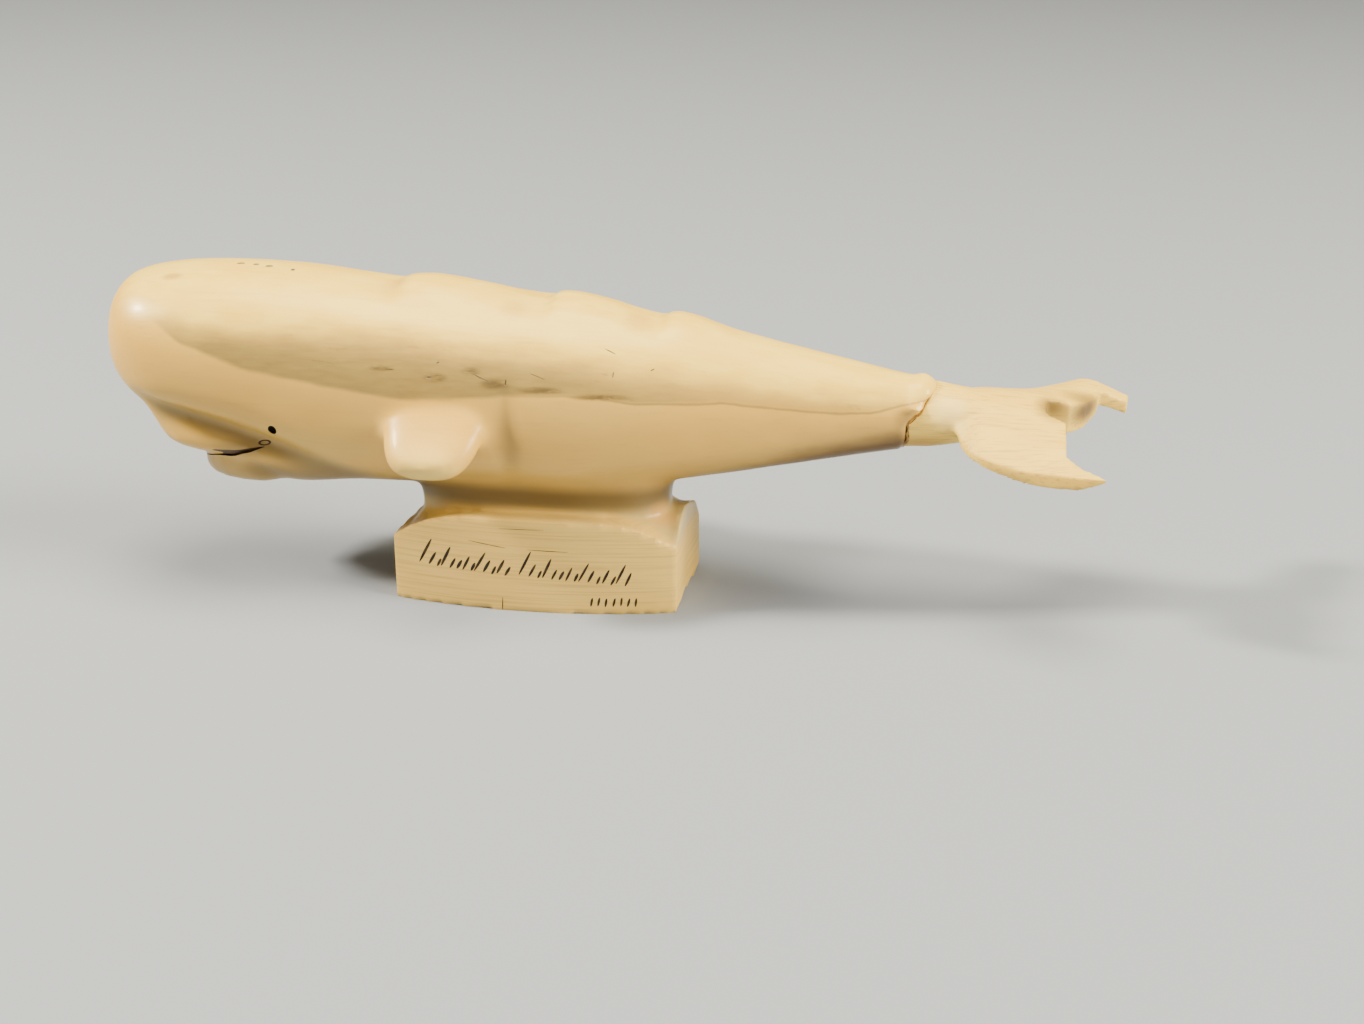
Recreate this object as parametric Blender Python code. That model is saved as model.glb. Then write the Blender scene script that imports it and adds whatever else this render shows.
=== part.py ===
"""Sperm whale carved in one with its plinth, and the tail flukes that broke off and were glued back on.

Metres, +Z up. The origin is the centre of the plinth's underside and the head points along -X.
A line of the whale is written as (share of WHALE_LENGTH behind the nose, share of a height or width).
"""

import math

import bmesh
import bpy
from mathutils import Vector

MM = 0.001

# Whale
WHALE_LENGTH = 114.5 * MM  # nose to the longer fluke
NOSE_REACH = 49.3 * MM  # nose in front of the plinth's centre
BODY_HEIGHT = 25.3 * MM  # throat to the top of the head
BODY_WIDTH = 21.4 * MM
THROAT_HEIGHT = 11.35 * MM  # throat above the table

# Plinth
PLINTH_LENGTH = 32.6 * MM
PLINTH_DEPTH = 14.0 * MM  # at its ends
PLINTH_BOW = 2.0 * MM  # the long faces bulge by this at their middle
PLINTH_SKEW = 0.8 * MM  # the tail end's far corner is further back by this
PLINTH_NOSE_SKEW = 1.5 * MM  # the nose end's far corner is further back by this
PLINTH_EDGE = 7.6 * MM  # height of the block at its corners
PLINTH_FALL = 1.2 * MM  # the tail end's far corner is lower by this
PLINTH_ARCH = 3.5 * MM  # the long faces rise by this much more at their middle
PLINTH_END_ARCH = 2.8 * MM  # the tail end's face rises by this much more at its middle
ARCH_POWER = 4  # a plain arch at 2, flatter along its middle above that
PLINTH_SQUARENESS = 60  # an oval at 2, sharp corners at 60
NECK_LENGTH = 28.2 * MM
NECK_SHIFT = 0.3 * MM  # the neck stands this far behind the block's centre
NECK_DEPTH = 10.4 * MM
NECK_FLARE = 2.2 * MM  # the neck grows by this on each side as it meets the belly
NECK_DROP = 1.5 * MM  # narrowest place below the belly
NECK_SINK = 5.0 * MM  # the neck runs this far up inside the belly
NECK_SQUARENESS = 4
NECK_BOW = 0.2  # share of PLINTH_BOW
COVE_HOLLOW = 0.8  # a quarter circle at 1, hollower below that

# Pectoral fins
FIN_LENGTH = 10.2 * MM  # along the body
FIN_REACH = 14.6 * MM  # tip from the middle plane
FIN_THICKNESS = 4.0 * MM
FIN_ANGLE = 42.0  # degrees below level
FIN_PLACE = 0.342  # share of WHALE_LENGTH
FIN_TIP_LEVEL = 0.26  # share of BODY_HEIGHT

# Mouth and eyes
JAW_LENGTH = 12.4 * MM  # lower jaw's tip to where it joins the throat
JAW_BREADTH = 0.607  # share of BODY_WIDTH
JAW_PLACE = 0.083  # share of WHALE_LENGTH, its tip
MOUTH_KERF = 0.5 * MM
MOUTH_CORNER = 0.1686  # share of WHALE_LENGTH
EYE_DIAMETER = 0.9 * MM
EYE_PLACE = 0.1795  # share of WHALE_LENGTH
EYE_LEVEL = 0.357  # share of BODY_HEIGHT

# Tail flukes
FLUKE_SPAN = 25.6 * MM
FLUKE_THICKNESS = 3.7 * MM  # at the ridge
FLUKE_EDGE = 1.3 * MM  # at the sides
FLUKE_MARGIN = 0.01  # share by which the plate starts larger than its outline
FLUKE_NECK = 0.905  # share of WHALE_LENGTH where the tail's stock ends inside the flukes
BREAK_PLACE = 0.791  # share of WHALE_LENGTH, at about half the stock's height
BREAK_GAP = 0.3 * MM
BREAK_TEETH = 0.18 * MM  # how far the ragged edge runs to and fro
STOCK_LEVELS = (0.12, 0.78)  # shares of BODY_HEIGHT well below and above the stock
STOCK_REACH = 0.34  # share of BODY_WIDTH, outside the stock
BREAK_OVERLAP = 0.044  # share of WHALE_LENGTH that each side runs on past the break before it is cut

# Smoothness
RING_POINTS = 36
NOSE_RINGS = 9
BODY_RINGS = 46
TAIL_RINGS = 12
FIN_POINTS = 28
JAW_POINTS = 20
NOSE_END = 0.075  # share of WHALE_LENGTH up to which the rings are close
HUMP_RINGS = (-0.001, 0.005, 0.012)  # further rings, this far behind each hump's start

TOP_LINE = (
    (0.000, 0.690), (0.0035, 0.806), (0.012, 0.889), (0.0235, 0.936), (0.042, 0.965), (0.081, 0.991),
    (0.134, 1.000), (0.186, 0.995), (0.282, 0.951), (0.378, 0.914), (0.430, 0.902), (0.483, 0.870),
    (0.535, 0.842), (0.570, 0.818), (0.606, 0.786), (0.675, 0.718), (0.745, 0.650), (0.815, 0.583),
    (0.867, 0.540), (0.920, 0.500),
)
BOTTOM_LINE = (
    (0.000, 0.690), (0.0035, 0.575), (0.010, 0.495), (0.0195, 0.430), (0.0350, 0.368), (0.0430, 0.316),
    (0.0480, 0.248), (0.0550, 0.194), (0.066, 0.160), (0.083, 0.141), (0.108, 0.120), (0.134, 0.095),
    (0.156, 0.054), (0.186, 0.010), (0.256, 0.038), (0.430, 0.055), (0.518, 0.079), (0.580, 0.120),
    (0.640, 0.170), (0.710, 0.228), (0.780, 0.290), (0.841, 0.334), (0.884, 0.400), (0.930, 0.480),
)
SIDE_LINE = (
    (0.000, 0.00), (0.0035, 0.31), (0.012, 0.53), (0.0235, 0.69), (0.035, 0.78), (0.052, 0.865),
    (0.078, 0.925), (0.122, 0.965), (0.208, 0.99), (0.312, 1.00), (0.434, 0.965), (0.521, 0.87),
    (0.608, 0.72), (0.694, 0.55), (0.755, 0.44), (0.816, 0.365), (0.870, 0.33), (0.930, 0.26),
)
WIDEST_LINE = (
    (0.000, 0.672), (0.052, 0.640), (0.122, 0.610), (0.260, 0.520), (0.434, 0.470), (0.608, 0.435),
    (0.781, 0.440), (0.930, 0.485),
)
CREASE_LINE = (
    (0.029, 0.320), (0.076, 0.365), (0.130, 0.330), (0.175, 0.280), (0.230, 0.180), (0.275, 0.110),
)
CREASE_DEPTH = (
    (0.000, 0.00), (0.022, 0.03), (0.046, 0.17), (0.100, 0.235), (0.155, 0.22), (0.205, 0.12),
    (0.265, 0.02), (0.295, 0.00),
)
CREASE_SPREAD = 0.072
MOUTH_LINE = (
    (0.075, 0.1067), (0.1074, 0.1107), (0.1293, 0.0968), (0.1441, 0.0889), (0.1572, 0.1028),
    (0.1686, 0.1285),
)
BREAK_LINE = (
    (0.2826, -0.0383), (0.3419, -0.0304), (0.4012, -0.0265), (0.4565, -0.0107), (0.5000, 0.0170),
    (0.5316, 0.0526), (0.5632, 0.0723), (0.6186, 0.0763),
)
MOUTH_WRAP = 0.255  # the slit rises by this share of BODY_HEIGHT out at the body's full width
# Start, end and height
HUMPS = ((0.292, 0.408, 0.047), (0.442, 0.527, 0.043), (0.552, 0.611, 0.032))

# Flukes in plan, (share of WHALE_LENGTH, share of half FLUKE_SPAN), the near lobe on the minus side
NEAR_FRONT = (
    (0.824, 0.20), (0.838, 0.43), (0.849, 0.59), (0.864, 0.69), (0.894, 0.785), (0.929, 0.885),
    (0.955, 0.955), (0.971, 0.955),
)
NEAR_TRAIL = ((0.950, 0.83), (0.934, 0.67), (0.934, 0.25), (0.916, 0.17))
FAR_TRAIL = (
    (0.9165, 0.05), (0.938, 0.08), (0.954, 0.24), (0.966, 0.48), (0.969, 0.66), (0.997, 0.70),
    (1.000, 0.90),
)
FAR_FRONT = (
    (0.832, 0.25), (0.842, 0.31), (0.865, 0.34), (0.894, 0.47), (0.925, 0.84), (0.950, 0.98),
    (0.972, 0.91),
)
FLUKE_RIDGE = ((0.830, 0.560), (0.877, 0.545), (0.920, 0.520), (0.955, 0.476), (1.000, 0.388))
FLUKE_DROOP = (
    (0.830, 0.520), (0.8375, 0.470), (0.852, 0.275), (0.894, 0.205), (0.933, 0.115), (0.972, 0.035),
    (1.000, 0.030),
)
# How much of the thickness is left along the flukes; the near lobe ends in a point, the far one in a stub
NEAR_TAPER = (
    (0.830, 0.30), (0.849, 0.42), (0.866, 0.54), (0.885, 0.66), (0.904, 0.82), (0.924, 1.0), (0.943, 1.0),
    (0.955, 0.80), (0.965, 0.48), (0.972, 0.16),
)
FAR_TAPER = (
    (0.830, 0.30), (0.849, 0.42), (0.866, 0.54), (0.885, 0.66), (0.904, 0.82), (0.924, 1.0), (0.943, 1.0),
    (0.962, 0.88), (0.975, 0.76), (1.000, 0.72),
)
FLUKE_ROLL = 0.056  # share of BODY_HEIGHT by which the far lobe's edge is raised and the near one's lowered


def clear_scene():
    for item in list(bpy.data.objects):
        bpy.data.objects.remove(item, do_unlink=True)


def ivory(name, colour, roughness):
    material = bpy.data.materials.new(name)
    material.use_nodes = True
    shader = material.node_tree.nodes["Principled BSDF"]
    shader.inputs["Base Color"].default_value = (*colour, 1.0)
    shader.inputs["Roughness"].default_value = roughness
    shader.inputs["Metallic"].default_value = 0.0
    return material


def between(line, s, spread=lambda value: value):
    """Value of a line at s, on a smooth curve that never overshoots the line's points."""
    xs = [spread(point[0]) for point in line]
    ys = [point[1] for point in line]
    at = spread(s)
    if at <= xs[0]:
        return ys[0]
    if at >= xs[-1]:
        return ys[-1]
    slopes = [(ys[i + 1] - ys[i]) / (xs[i + 1] - xs[i]) for i in range(len(xs) - 1)]
    tangents = [slopes[0]]
    for before, after in zip(slopes, slopes[1:]):
        tangents.append(2 * before * after / (before + after) if before * after > 0 else 0.0)
    tangents.append(slopes[-1])
    i = next(k for k in range(len(xs) - 1) if at <= xs[k + 1])
    step = xs[i + 1] - xs[i]
    t = (at - xs[i]) / step
    start = (1 + 2 * t) * (1 - t) ** 2 * ys[i] + t * (1 - t) ** 2 * step * tangents[i]
    return start + t * t * (3 - 2 * t) * ys[i + 1] - t * t * (1 - t) * step * tangents[i + 1]


def body_line(line, s):
    """A whale line at s; the square root spreads out the blunt nose."""
    return between(line, max(s, 0.0), math.sqrt)


def signed_power(value, power):
    return math.copysign(abs(value) ** power, value)


def x_at(s):
    return s * WHALE_LENGTH - NOSE_REACH


def z_at(share):
    return THROAT_HEIGHT + share * BODY_HEIGHT


def hump_at(s):
    for start, end, height in HUMPS:
        if start < s < end:
            t = (s - start) / (end - start)
            return height * math.sin(math.pi * t ** 0.6) ** 0.7
    return 0.0


def section_point(s, angle):
    """Point of the body's section at s; angle 0 is the back and pi the belly."""
    top = body_line(TOP_LINE, s)
    bottom = body_line(BOTTOM_LINE, s)
    widest = body_line(WIDEST_LINE, s)
    side = body_line(SIDE_LINE, s)
    cosine = math.cos(angle)
    sine = math.sin(angle)
    power = 2 / (2.15 if cosine > 0 else 2.2)
    reach = top - widest if cosine > 0 else widest - bottom
    level = widest + reach * signed_power(cosine, power)
    across = side * abs(sine) ** power
    crease = between(CREASE_LINE, s)
    depth = between(CREASE_DEPTH, s)
    across *= 1 - depth * math.exp(-(((level - crease) / CREASE_SPREAD) ** 2))
    if cosine > 0:
        level += hump_at(s) * max(0.0, 1 - (across / (0.5 * side + 1e-6)) ** 2)
    return Vector((x_at(s), -math.copysign(across, sine) * BODY_WIDTH / 2, z_at(level)))


def side_at(s, share):
    """Half width of the body at a level."""
    angles = [math.pi * k / 360 for k in range(90, 361)]
    points = [section_point(s, angle) for angle in angles]
    nearest = min(points, key=lambda point: abs(point.z - z_at(share)))
    return abs(nearest.y)


def new_object(name, mesh_builder):
    mesh = bpy.data.meshes.new(name)
    bm = bmesh.new()
    mesh_builder(bm)
    bmesh.ops.recalc_face_normals(bm, faces=bm.faces)
    bm.to_mesh(mesh)
    bm.free()
    piece = bpy.data.objects.new(name, mesh)
    bpy.context.collection.objects.link(piece)
    return piece


def loft(bm, rings):
    """Closed skin over rings of points; a ring of one point is a tip."""
    loops = [[bm.verts.new(point) for point in ring] for ring in rings]
    for here, there in zip(loops, loops[1:]):
        count = max(len(here), len(there))
        for k in range(count):
            after = (k + 1) % count
            if len(here) == 1:
                bm.faces.new((here[0], there[k], there[after]))
            elif len(there) == 1:
                bm.faces.new((here[after], here[k], there[0]))
            else:
                bm.faces.new((here[k], there[k], there[after], here[after]))
    for end in (loops[0], loops[-1]):
        if len(end) > 1:
            bm.faces.new(end)


def lofted(name, rings):
    return new_object(name, lambda bm: loft(bm, rings))


def slab(name, xs, ys, low, high):
    """Closed sheet over a grid of xs and ys, between the heights low(x, y) and high(x, y)."""

    def build(bm):
        under = [[bm.verts.new((x, y, low(x, y))) for y in ys] for x in xs]
        over = [[bm.verts.new((x, y, high(x, y))) for y in ys] for x in xs]
        for i in range(len(xs) - 1):
            for j in range(len(ys) - 1):
                bm.faces.new((under[i][j], under[i][j + 1], under[i + 1][j + 1], under[i + 1][j]))
                bm.faces.new((over[i][j], over[i + 1][j], over[i + 1][j + 1], over[i][j + 1]))
        rim = [(i, 0) for i in range(len(xs))] + [(len(xs) - 1, j) for j in range(1, len(ys))]
        rim += [(i, len(ys) - 1) for i in range(len(xs) - 2, -1, -1)]
        rim += [(0, j) for j in range(len(ys) - 2, 0, -1)]
        for (i, j), (p, q) in zip(rim, rim[1:] + rim[:1]):
            bm.faces.new((under[i][j], under[p][q], over[p][q], over[i][j]))

    return new_object(name, build)


def evenly(start, end, steps):
    return [start + (end - start) * k / steps for k in range(steps + 1)]


def shape_with(piece, tool, operation):
    """Add or cut a tool shape, which stays out of the model itself."""
    tool.hide_render = True
    tool.display_type = "WIRE"
    modifier = piece.modifiers.new(tool.name, "BOOLEAN")
    modifier.operation = operation
    modifier.object = tool
    modifier.solver = "EXACT"


def body_rings(shares):
    angles = [2 * math.pi * k / RING_POINTS for k in range(RING_POINTS)]
    return [[section_point(s, angle) for angle in angles] for s in sorted(shares)]


def whale_loft():
    nose = [NOSE_END * (k / NOSE_RINGS) ** 2 for k in range(1, NOSE_RINGS)]
    humps = [start + further for start, end, height in HUMPS for further in HUMP_RINGS]
    rest = evenly(NOSE_END, BREAK_PLACE + BREAK_OVERLAP, BODY_RINGS)
    return [[section_point(0.0, 0.0)]] + body_rings(nose + humps + rest)


def plinth_ring(half_length, shift, half_depth, bow, skew, fall, height, arch, end_arch, power):
    """Ring of the plinth: a bowed rectangle, rounded towards an oval as power falls; skew is a share."""
    corners = ((-1, -1), (1, -1), (1, 1), (-1, 1))
    steps = (16, 6, 16, 6)
    points = []
    for (u0, v0), (u1, v1), count in zip(corners, corners[1:] + corners[:1], steps):
        for k in range(count):
            t = k / count
            u = u0 + (u1 - u0) * t
            v = v0 + (v1 - v0) * t
            shrink = (abs(u) ** power + abs(v) ** power) ** (-1 / power)
            u *= shrink
            v *= shrink
            lean = PLINTH_SKEW * max(u, 0) * max(v, 0) + PLINTH_NOSE_SKEW * max(-u, 0) * (v + 1) / 2
            x = u * half_length + shift + skew * lean
            y = v * (half_depth + bow * (1 - u * u))
            rise = arch * (1 - u ** ARCH_POWER) - fall * max(u, 0) * max(v, 0)
            rise += end_arch * max(u, 0) * (1 - v ** ARCH_POWER)
            points.append(Vector((x, y, height + rise)))
    return points


def plinth_rings():
    """Block, cove and neck, up into the belly."""
    half_length = PLINTH_LENGTH / 2
    half_depth = PLINTH_DEPTH / 2
    neck_length = NECK_LENGTH / 2
    neck_depth = NECK_DEPTH / 2
    belly = z_at(BOTTOM_LINE[13][1])
    waist = belly - NECK_DROP
    inside = belly + NECK_SINK
    block = (half_length, 0.0, half_depth, PLINTH_BOW, 1.0)
    arches = (PLINTH_ARCH, PLINTH_END_ARCH)
    rings = [plinth_ring(*block, 0.0, 0.0, 0.0, 0.0, PLINTH_SQUARENESS)]
    rings.append(plinth_ring(*block, PLINTH_FALL, PLINTH_EDGE, *arches, PLINTH_SQUARENESS))
    steps = 6
    for k in range(1, steps + 1):
        turn = math.pi / 2 * k / steps
        inwards = math.sin(turn) ** COVE_HOLLOW
        upwards = 1 - math.cos(turn)
        length = half_length + (neck_length - half_length) * inwards
        depth = half_depth + (neck_depth - half_depth) * inwards
        bow = PLINTH_BOW * (1 - (1 - NECK_BOW) * inwards)
        rise = PLINTH_EDGE + (waist - PLINTH_EDGE) * upwards
        arches = (PLINTH_ARCH * (1 - upwards), PLINTH_END_ARCH * (1 - upwards))
        power = PLINTH_SQUARENESS ** (1 - inwards) * NECK_SQUARENESS ** inwards
        skew = 1 - inwards
        fall = PLINTH_FALL * (1 - upwards)
        shift = NECK_SHIFT * inwards
        rings.append(plinth_ring(length, shift, depth, bow, skew, fall, rise, *arches, power))
    for k in range(1, 4):
        t = k / 3
        flare = NECK_FLARE * t * t
        length = neck_length + flare
        depth = neck_depth + flare
        height = waist + (inside - waist) * t
        bow = NECK_BOW * PLINTH_BOW
        neck = (length, NECK_SHIFT, depth, bow)
        rings.append(plinth_ring(*neck, 0.0, 0.0, height, 0.0, 0.0, NECK_SQUARENESS))
    return rings


def fin_rings(side):
    """Stub of a paddle that leaves the flank outwards and down, from inside the body to its tip."""
    drop = math.radians(FIN_ANGLE)
    along = Vector((0.0, side * math.cos(drop), -math.sin(drop)))
    across = Vector((0.0, side * math.sin(drop), math.cos(drop)))
    tip = Vector((x_at(FIN_PLACE), side * FIN_REACH, z_at(FIN_TIP_LEVEL)))
    reach = 0.95 * FIN_LENGTH
    # Distance from the tip, half length and half thickness as shares
    stations = (
        (1.00, 0.66, 0.64), (0.80, 0.64, 0.60), (0.62, 0.585, 0.54), (0.46, 0.53, 0.50),
        (0.30, 0.49, 0.49), (0.17, 0.435, 0.47), (0.08, 0.365, 0.43), (0.025, 0.28, 0.34),
        (0.0, 0.16, 0.18),
    )
    rings = []
    for back, half_length, half_thickness in stations:
        centre = tip - along * back * reach + Vector((0.06 * FIN_LENGTH * back, 0.0, 0.0))
        ring = []
        for k in range(FIN_POINTS):
            angle = 2 * math.pi * k / FIN_POINTS
            u = signed_power(math.cos(angle), 0.8) * half_length * FIN_LENGTH
            v = signed_power(math.sin(angle), 0.8) * half_thickness * FIN_THICKNESS
            ring.append(centre + Vector((u, 0.0, 0.0)) + across * v)
        rings.append(ring)
    return rings


def jaw_rings():
    """Lower jaw, a tongue with a rounded tip that runs back into the throat."""
    # Share of JAW_LENGTH, half width and underside as shares
    stations = (
        (0.0, 0.07, 0.055), (0.02, 0.20, 0.040), (0.06, 0.35, 0.029), (0.14, 0.54, 0.018),
        (0.28, 0.74, 0.012), (0.45, 0.88, 0.010), (0.65, 0.95, 0.012), (0.83, 0.88, 0.026),
        (1.0, 0.66, 0.075),
    )
    roof = 0.24
    rings = []
    for along, half_width, underside in stations:
        x = x_at(JAW_PLACE) + along * JAW_LENGTH
        ring = []
        for k in range(JAW_POINTS):
            angle = 2 * math.pi * k / JAW_POINTS
            y = signed_power(math.sin(angle), 0.7) * half_width * JAW_BREADTH * BODY_WIDTH / 2
            level = (underside + roof) / 2 - math.cos(angle) * (roof - underside) / 2
            ring.append(Vector((x, y, z_at(level))))
        rings.append(ring)
    return rings


def mouth_height(x, y):
    """Middle of the mouth's slit: it rises to its corners and round the upper jaw."""
    share = between(MOUTH_LINE, (x + NOSE_REACH) / WHALE_LENGTH)
    return z_at(share + MOUTH_WRAP * (2 * y / BODY_WIDTH) ** 2)


def make_mouth():
    xs = evenly(x_at(JAW_PLACE - 0.02), x_at(MOUTH_CORNER), 10)
    ys = evenly(-0.42 * BODY_WIDTH, 0.42 * BODY_WIDTH, 14)

    def half(x):
        left = (xs[-1] - x) / (0.012 * WHALE_LENGTH)
        return MOUTH_KERF / 2 * min(1.0, 0.35 + 0.65 * left)

    return slab(
        "mouth_cut",
        xs,
        ys,
        lambda x, y: mouth_height(x, y) - half(x),
        lambda x, y: mouth_height(x, y) + half(x),
    )


def make_eye(side):
    y = side * side_at(EYE_PLACE, EYE_LEVEL)

    def build(bm):
        bmesh.ops.create_icosphere(bm, subdivisions=2, radius=EYE_DIAMETER / 2)
        bmesh.ops.translate(bm, vec=Vector((x_at(EYE_PLACE), y, z_at(EYE_LEVEL))), verts=bm.verts)

    return new_object("eye_cut_" + ("left" if side < 0 else "right"), build)


def break_x(y, z):
    """The ragged break: it runs back as it rises, with teeth in it."""
    level = (z - THROAT_HEIGHT) / BODY_HEIGHT
    side = y / BODY_HEIGHT
    ragged = math.sin(58 * level + 15 * side) + 0.7 * math.sin(43 * side + 1) - 0.6 * math.sin(99 * level)
    return x_at(BREAK_PLACE) + between(BREAK_LINE, level) * BODY_HEIGHT + ragged * BREAK_TEETH


def break_block(name, offset, far_x):
    """Everything on one side of the break, as a closed block from the break to far_x."""
    half = STOCK_REACH * BODY_WIDTH
    low, high = STOCK_LEVELS
    ys = evenly(-half, half, 12)
    zs = evenly(z_at(low), z_at(high), 16)

    def build(bm):
        face = [[bm.verts.new((break_x(y, z) + offset, y, z)) for z in zs] for y in ys]
        back = [[bm.verts.new((far_x, y, z)) for z in zs] for y in ys]
        for i in range(len(ys) - 1):
            for j in range(len(zs) - 1):
                bm.faces.new((face[i][j], face[i + 1][j], face[i + 1][j + 1], face[i][j + 1]))
                bm.faces.new((back[i][j], back[i][j + 1], back[i + 1][j + 1], back[i + 1][j]))
        rim = [(i, 0) for i in range(len(ys))] + [(len(ys) - 1, j) for j in range(1, len(zs))]
        rim += [(i, len(zs) - 1) for i in range(len(ys) - 2, -1, -1)]
        rim += [(0, j) for j in range(len(zs) - 2, 0, -1)]
        for (i, j), (p, q) in zip(rim, rim[1:] + rim[:1]):
            bm.faces.new((face[i][j], face[p][q], back[p][q], back[i][j]))

    return new_object(name, build)


def curve_through(points, steps):
    """Points on a smooth curve through a few named ones."""
    padded = [Vector(point) for point in (points[0], *points, points[-1])]
    run = []
    for before, start, end, after in zip(padded, padded[1:], padded[2:], padded[3:]):
        leave = (end - before) / 2
        arrive = (after - start) / 2
        for k in range(steps):
            t = k / steps
            lead = start * (1 + 2 * t) * (1 - t) ** 2 + leave * t * (1 - t) ** 2
            run.append(lead + end * t * t * (3 - 2 * t) - arrive * t * t * (1 - t))
    run.append(padded[-1])
    return run


def fluke_outline():
    near = curve_through(NEAR_FRONT, 3) + list(NEAR_TRAIL)
    far = curve_through(FAR_FRONT, 3)
    outline = [(s, -v) for s, v in near] + list(FAR_TRAIL) + far[::-1]
    return [(x_at(s), v * FLUKE_SPAN / 2) for s, v in outline]


def fluke_top(x, y):
    s = (x + NOSE_REACH) / WHALE_LENGTH
    v = 2 * y / FLUKE_SPAN
    level = between(FLUKE_RIDGE, s) + FLUKE_ROLL * v - between(FLUKE_DROOP, s) * abs(v) ** 1.5
    return z_at(level)


def fluke_bottom(x, y):
    share = abs(2 * y / FLUKE_SPAN)
    thickness = FLUKE_THICKNESS + (FLUKE_EDGE - FLUKE_THICKNESS) * min(1, share)
    taper = NEAR_TAPER if y < 0 else FAR_TAPER
    return fluke_top(x, y) - thickness * between(taper, (x + NOSE_REACH) / WHALE_LENGTH)


def make_flukes():
    """Fluke plate: a drooping slab trimmed to the outline in plan."""
    xs = evenly(x_at(NEAR_FRONT[0][0] - FLUKE_MARGIN), x_at(FAR_TRAIL[-1][0] + FLUKE_MARGIN), 24)
    half = (0.5 + FLUKE_MARGIN) * FLUKE_SPAN
    ys = evenly(-half, half, 24)
    plate = slab("fluke_plate", xs, ys, fluke_bottom, fluke_top)
    outline = fluke_outline()
    low, high = STOCK_LEVELS
    rings = [[Vector((x, y, z)) for x, y in outline] for z in (z_at(low), z_at(high))]
    prism = lofted("fluke_outline", rings)
    shape_with(plate, prism, "INTERSECT")
    return plate


def make_whale():
    whale = lofted("whale_body", whale_loft())
    past = x_at(BREAK_PLACE + 2 * BREAK_OVERLAP)
    shape_with(whale, break_block("break_cut", 0.0, past), "DIFFERENCE")
    shape_with(whale, lofted("jaw", jaw_rings()), "UNION")
    shape_with(whale, make_mouth(), "DIFFERENCE")
    shape_with(whale, lofted("plinth", plinth_rings()), "UNION")
    for side, name in ((-1, "fin_left"), (1, "fin_right")):
        shape_with(whale, lofted(name, fin_rings(side)), "UNION")
        shape_with(whale, make_eye(side), "DIFFERENCE")
    return whale


def make_tail():
    tail = lofted("tail_flukes", body_rings(evenly(BREAK_PLACE - BREAK_OVERLAP, FLUKE_NECK, TAIL_RINGS)))
    before = x_at(BREAK_PLACE - 2 * BREAK_OVERLAP)
    shape_with(tail, break_block("break_keep", BREAK_GAP, before), "DIFFERENCE")
    shape_with(tail, make_flukes(), "UNION")
    return tail


clear_scene()
whale_body = make_whale()
tail_flukes = make_tail()
whale_body.data.materials.append(ivory("polished_ivory", (0.78, 0.62, 0.37), 0.36))
tail_flukes.data.materials.append(ivory("matt_ivory", (0.76, 0.61, 0.33), 0.55))
for piece in (whale_body, tail_flukes):
    piece.data.shade_smooth()
    piece.data.set_sharp_from_angle(angle=math.radians(40))
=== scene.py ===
"""Carved whale on its plinth, with its tail flukes glued back on: the finished carving.

Sizes are in millimetres and are turned into metres where a mesh is written.
The whale looks towards -X, and its left side, towards -Y, is the near one.
"""

import math

import bpy
import numpy as np
from mathutils import Euler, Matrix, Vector


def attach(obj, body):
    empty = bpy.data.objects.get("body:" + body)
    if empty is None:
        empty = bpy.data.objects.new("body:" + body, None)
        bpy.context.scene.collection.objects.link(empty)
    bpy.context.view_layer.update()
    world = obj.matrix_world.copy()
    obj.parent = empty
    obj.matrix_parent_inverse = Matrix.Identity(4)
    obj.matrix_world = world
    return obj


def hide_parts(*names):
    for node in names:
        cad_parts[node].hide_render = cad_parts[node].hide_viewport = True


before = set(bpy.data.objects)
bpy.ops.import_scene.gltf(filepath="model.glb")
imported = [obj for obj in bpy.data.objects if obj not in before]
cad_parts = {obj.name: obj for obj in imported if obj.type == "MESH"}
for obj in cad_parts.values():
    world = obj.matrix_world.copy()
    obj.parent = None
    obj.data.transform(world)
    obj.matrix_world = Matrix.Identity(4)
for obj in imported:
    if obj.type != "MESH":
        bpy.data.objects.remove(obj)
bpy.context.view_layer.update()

MM = 0.001
SMOOTH_ANGLE = math.radians(35)

# Edge length of the faces on the rebuilt surfaces
BODY_GRAIN = 0.34
FLUKES_GRAIN = 0.18

# Lower edge of the tooth's grey outer layer, as (x, z)
BODY_EDGE = (
    (-49.3, 33.5), (-41.6, 32.2), (-39.7, 31.1), (-37.9, 29.9), (-33.9, 28.6), (-30.0, 27.4),
    (-24.4, 26.5), (-18.9, 25.6), (-13.3, 25.1), (-7.8, 25.3), (-2.4, 25.7), (4.0, 26.0),
    (8.3, 25.7), (12.5, 25.2), (20.9, 25.1), (25.2, 24.7), (29.4, 24.2), (33.7, 23.9),
    (36.8, 24.0), (43.0, 25.2),
)
# Its upper edge
BARK_TOP = (
    (-49.3, 34.0), (-41.8, 32.9), (-36.8, 31.7), (-24.6, 31.8), (-13.6, 31.4), (-2.7, 30.4),
    (8.0, 29.2), (18.7, 27.5), (25.1, 26.3), (31.5, 25.4), (43.0, 24.9),
)
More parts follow.
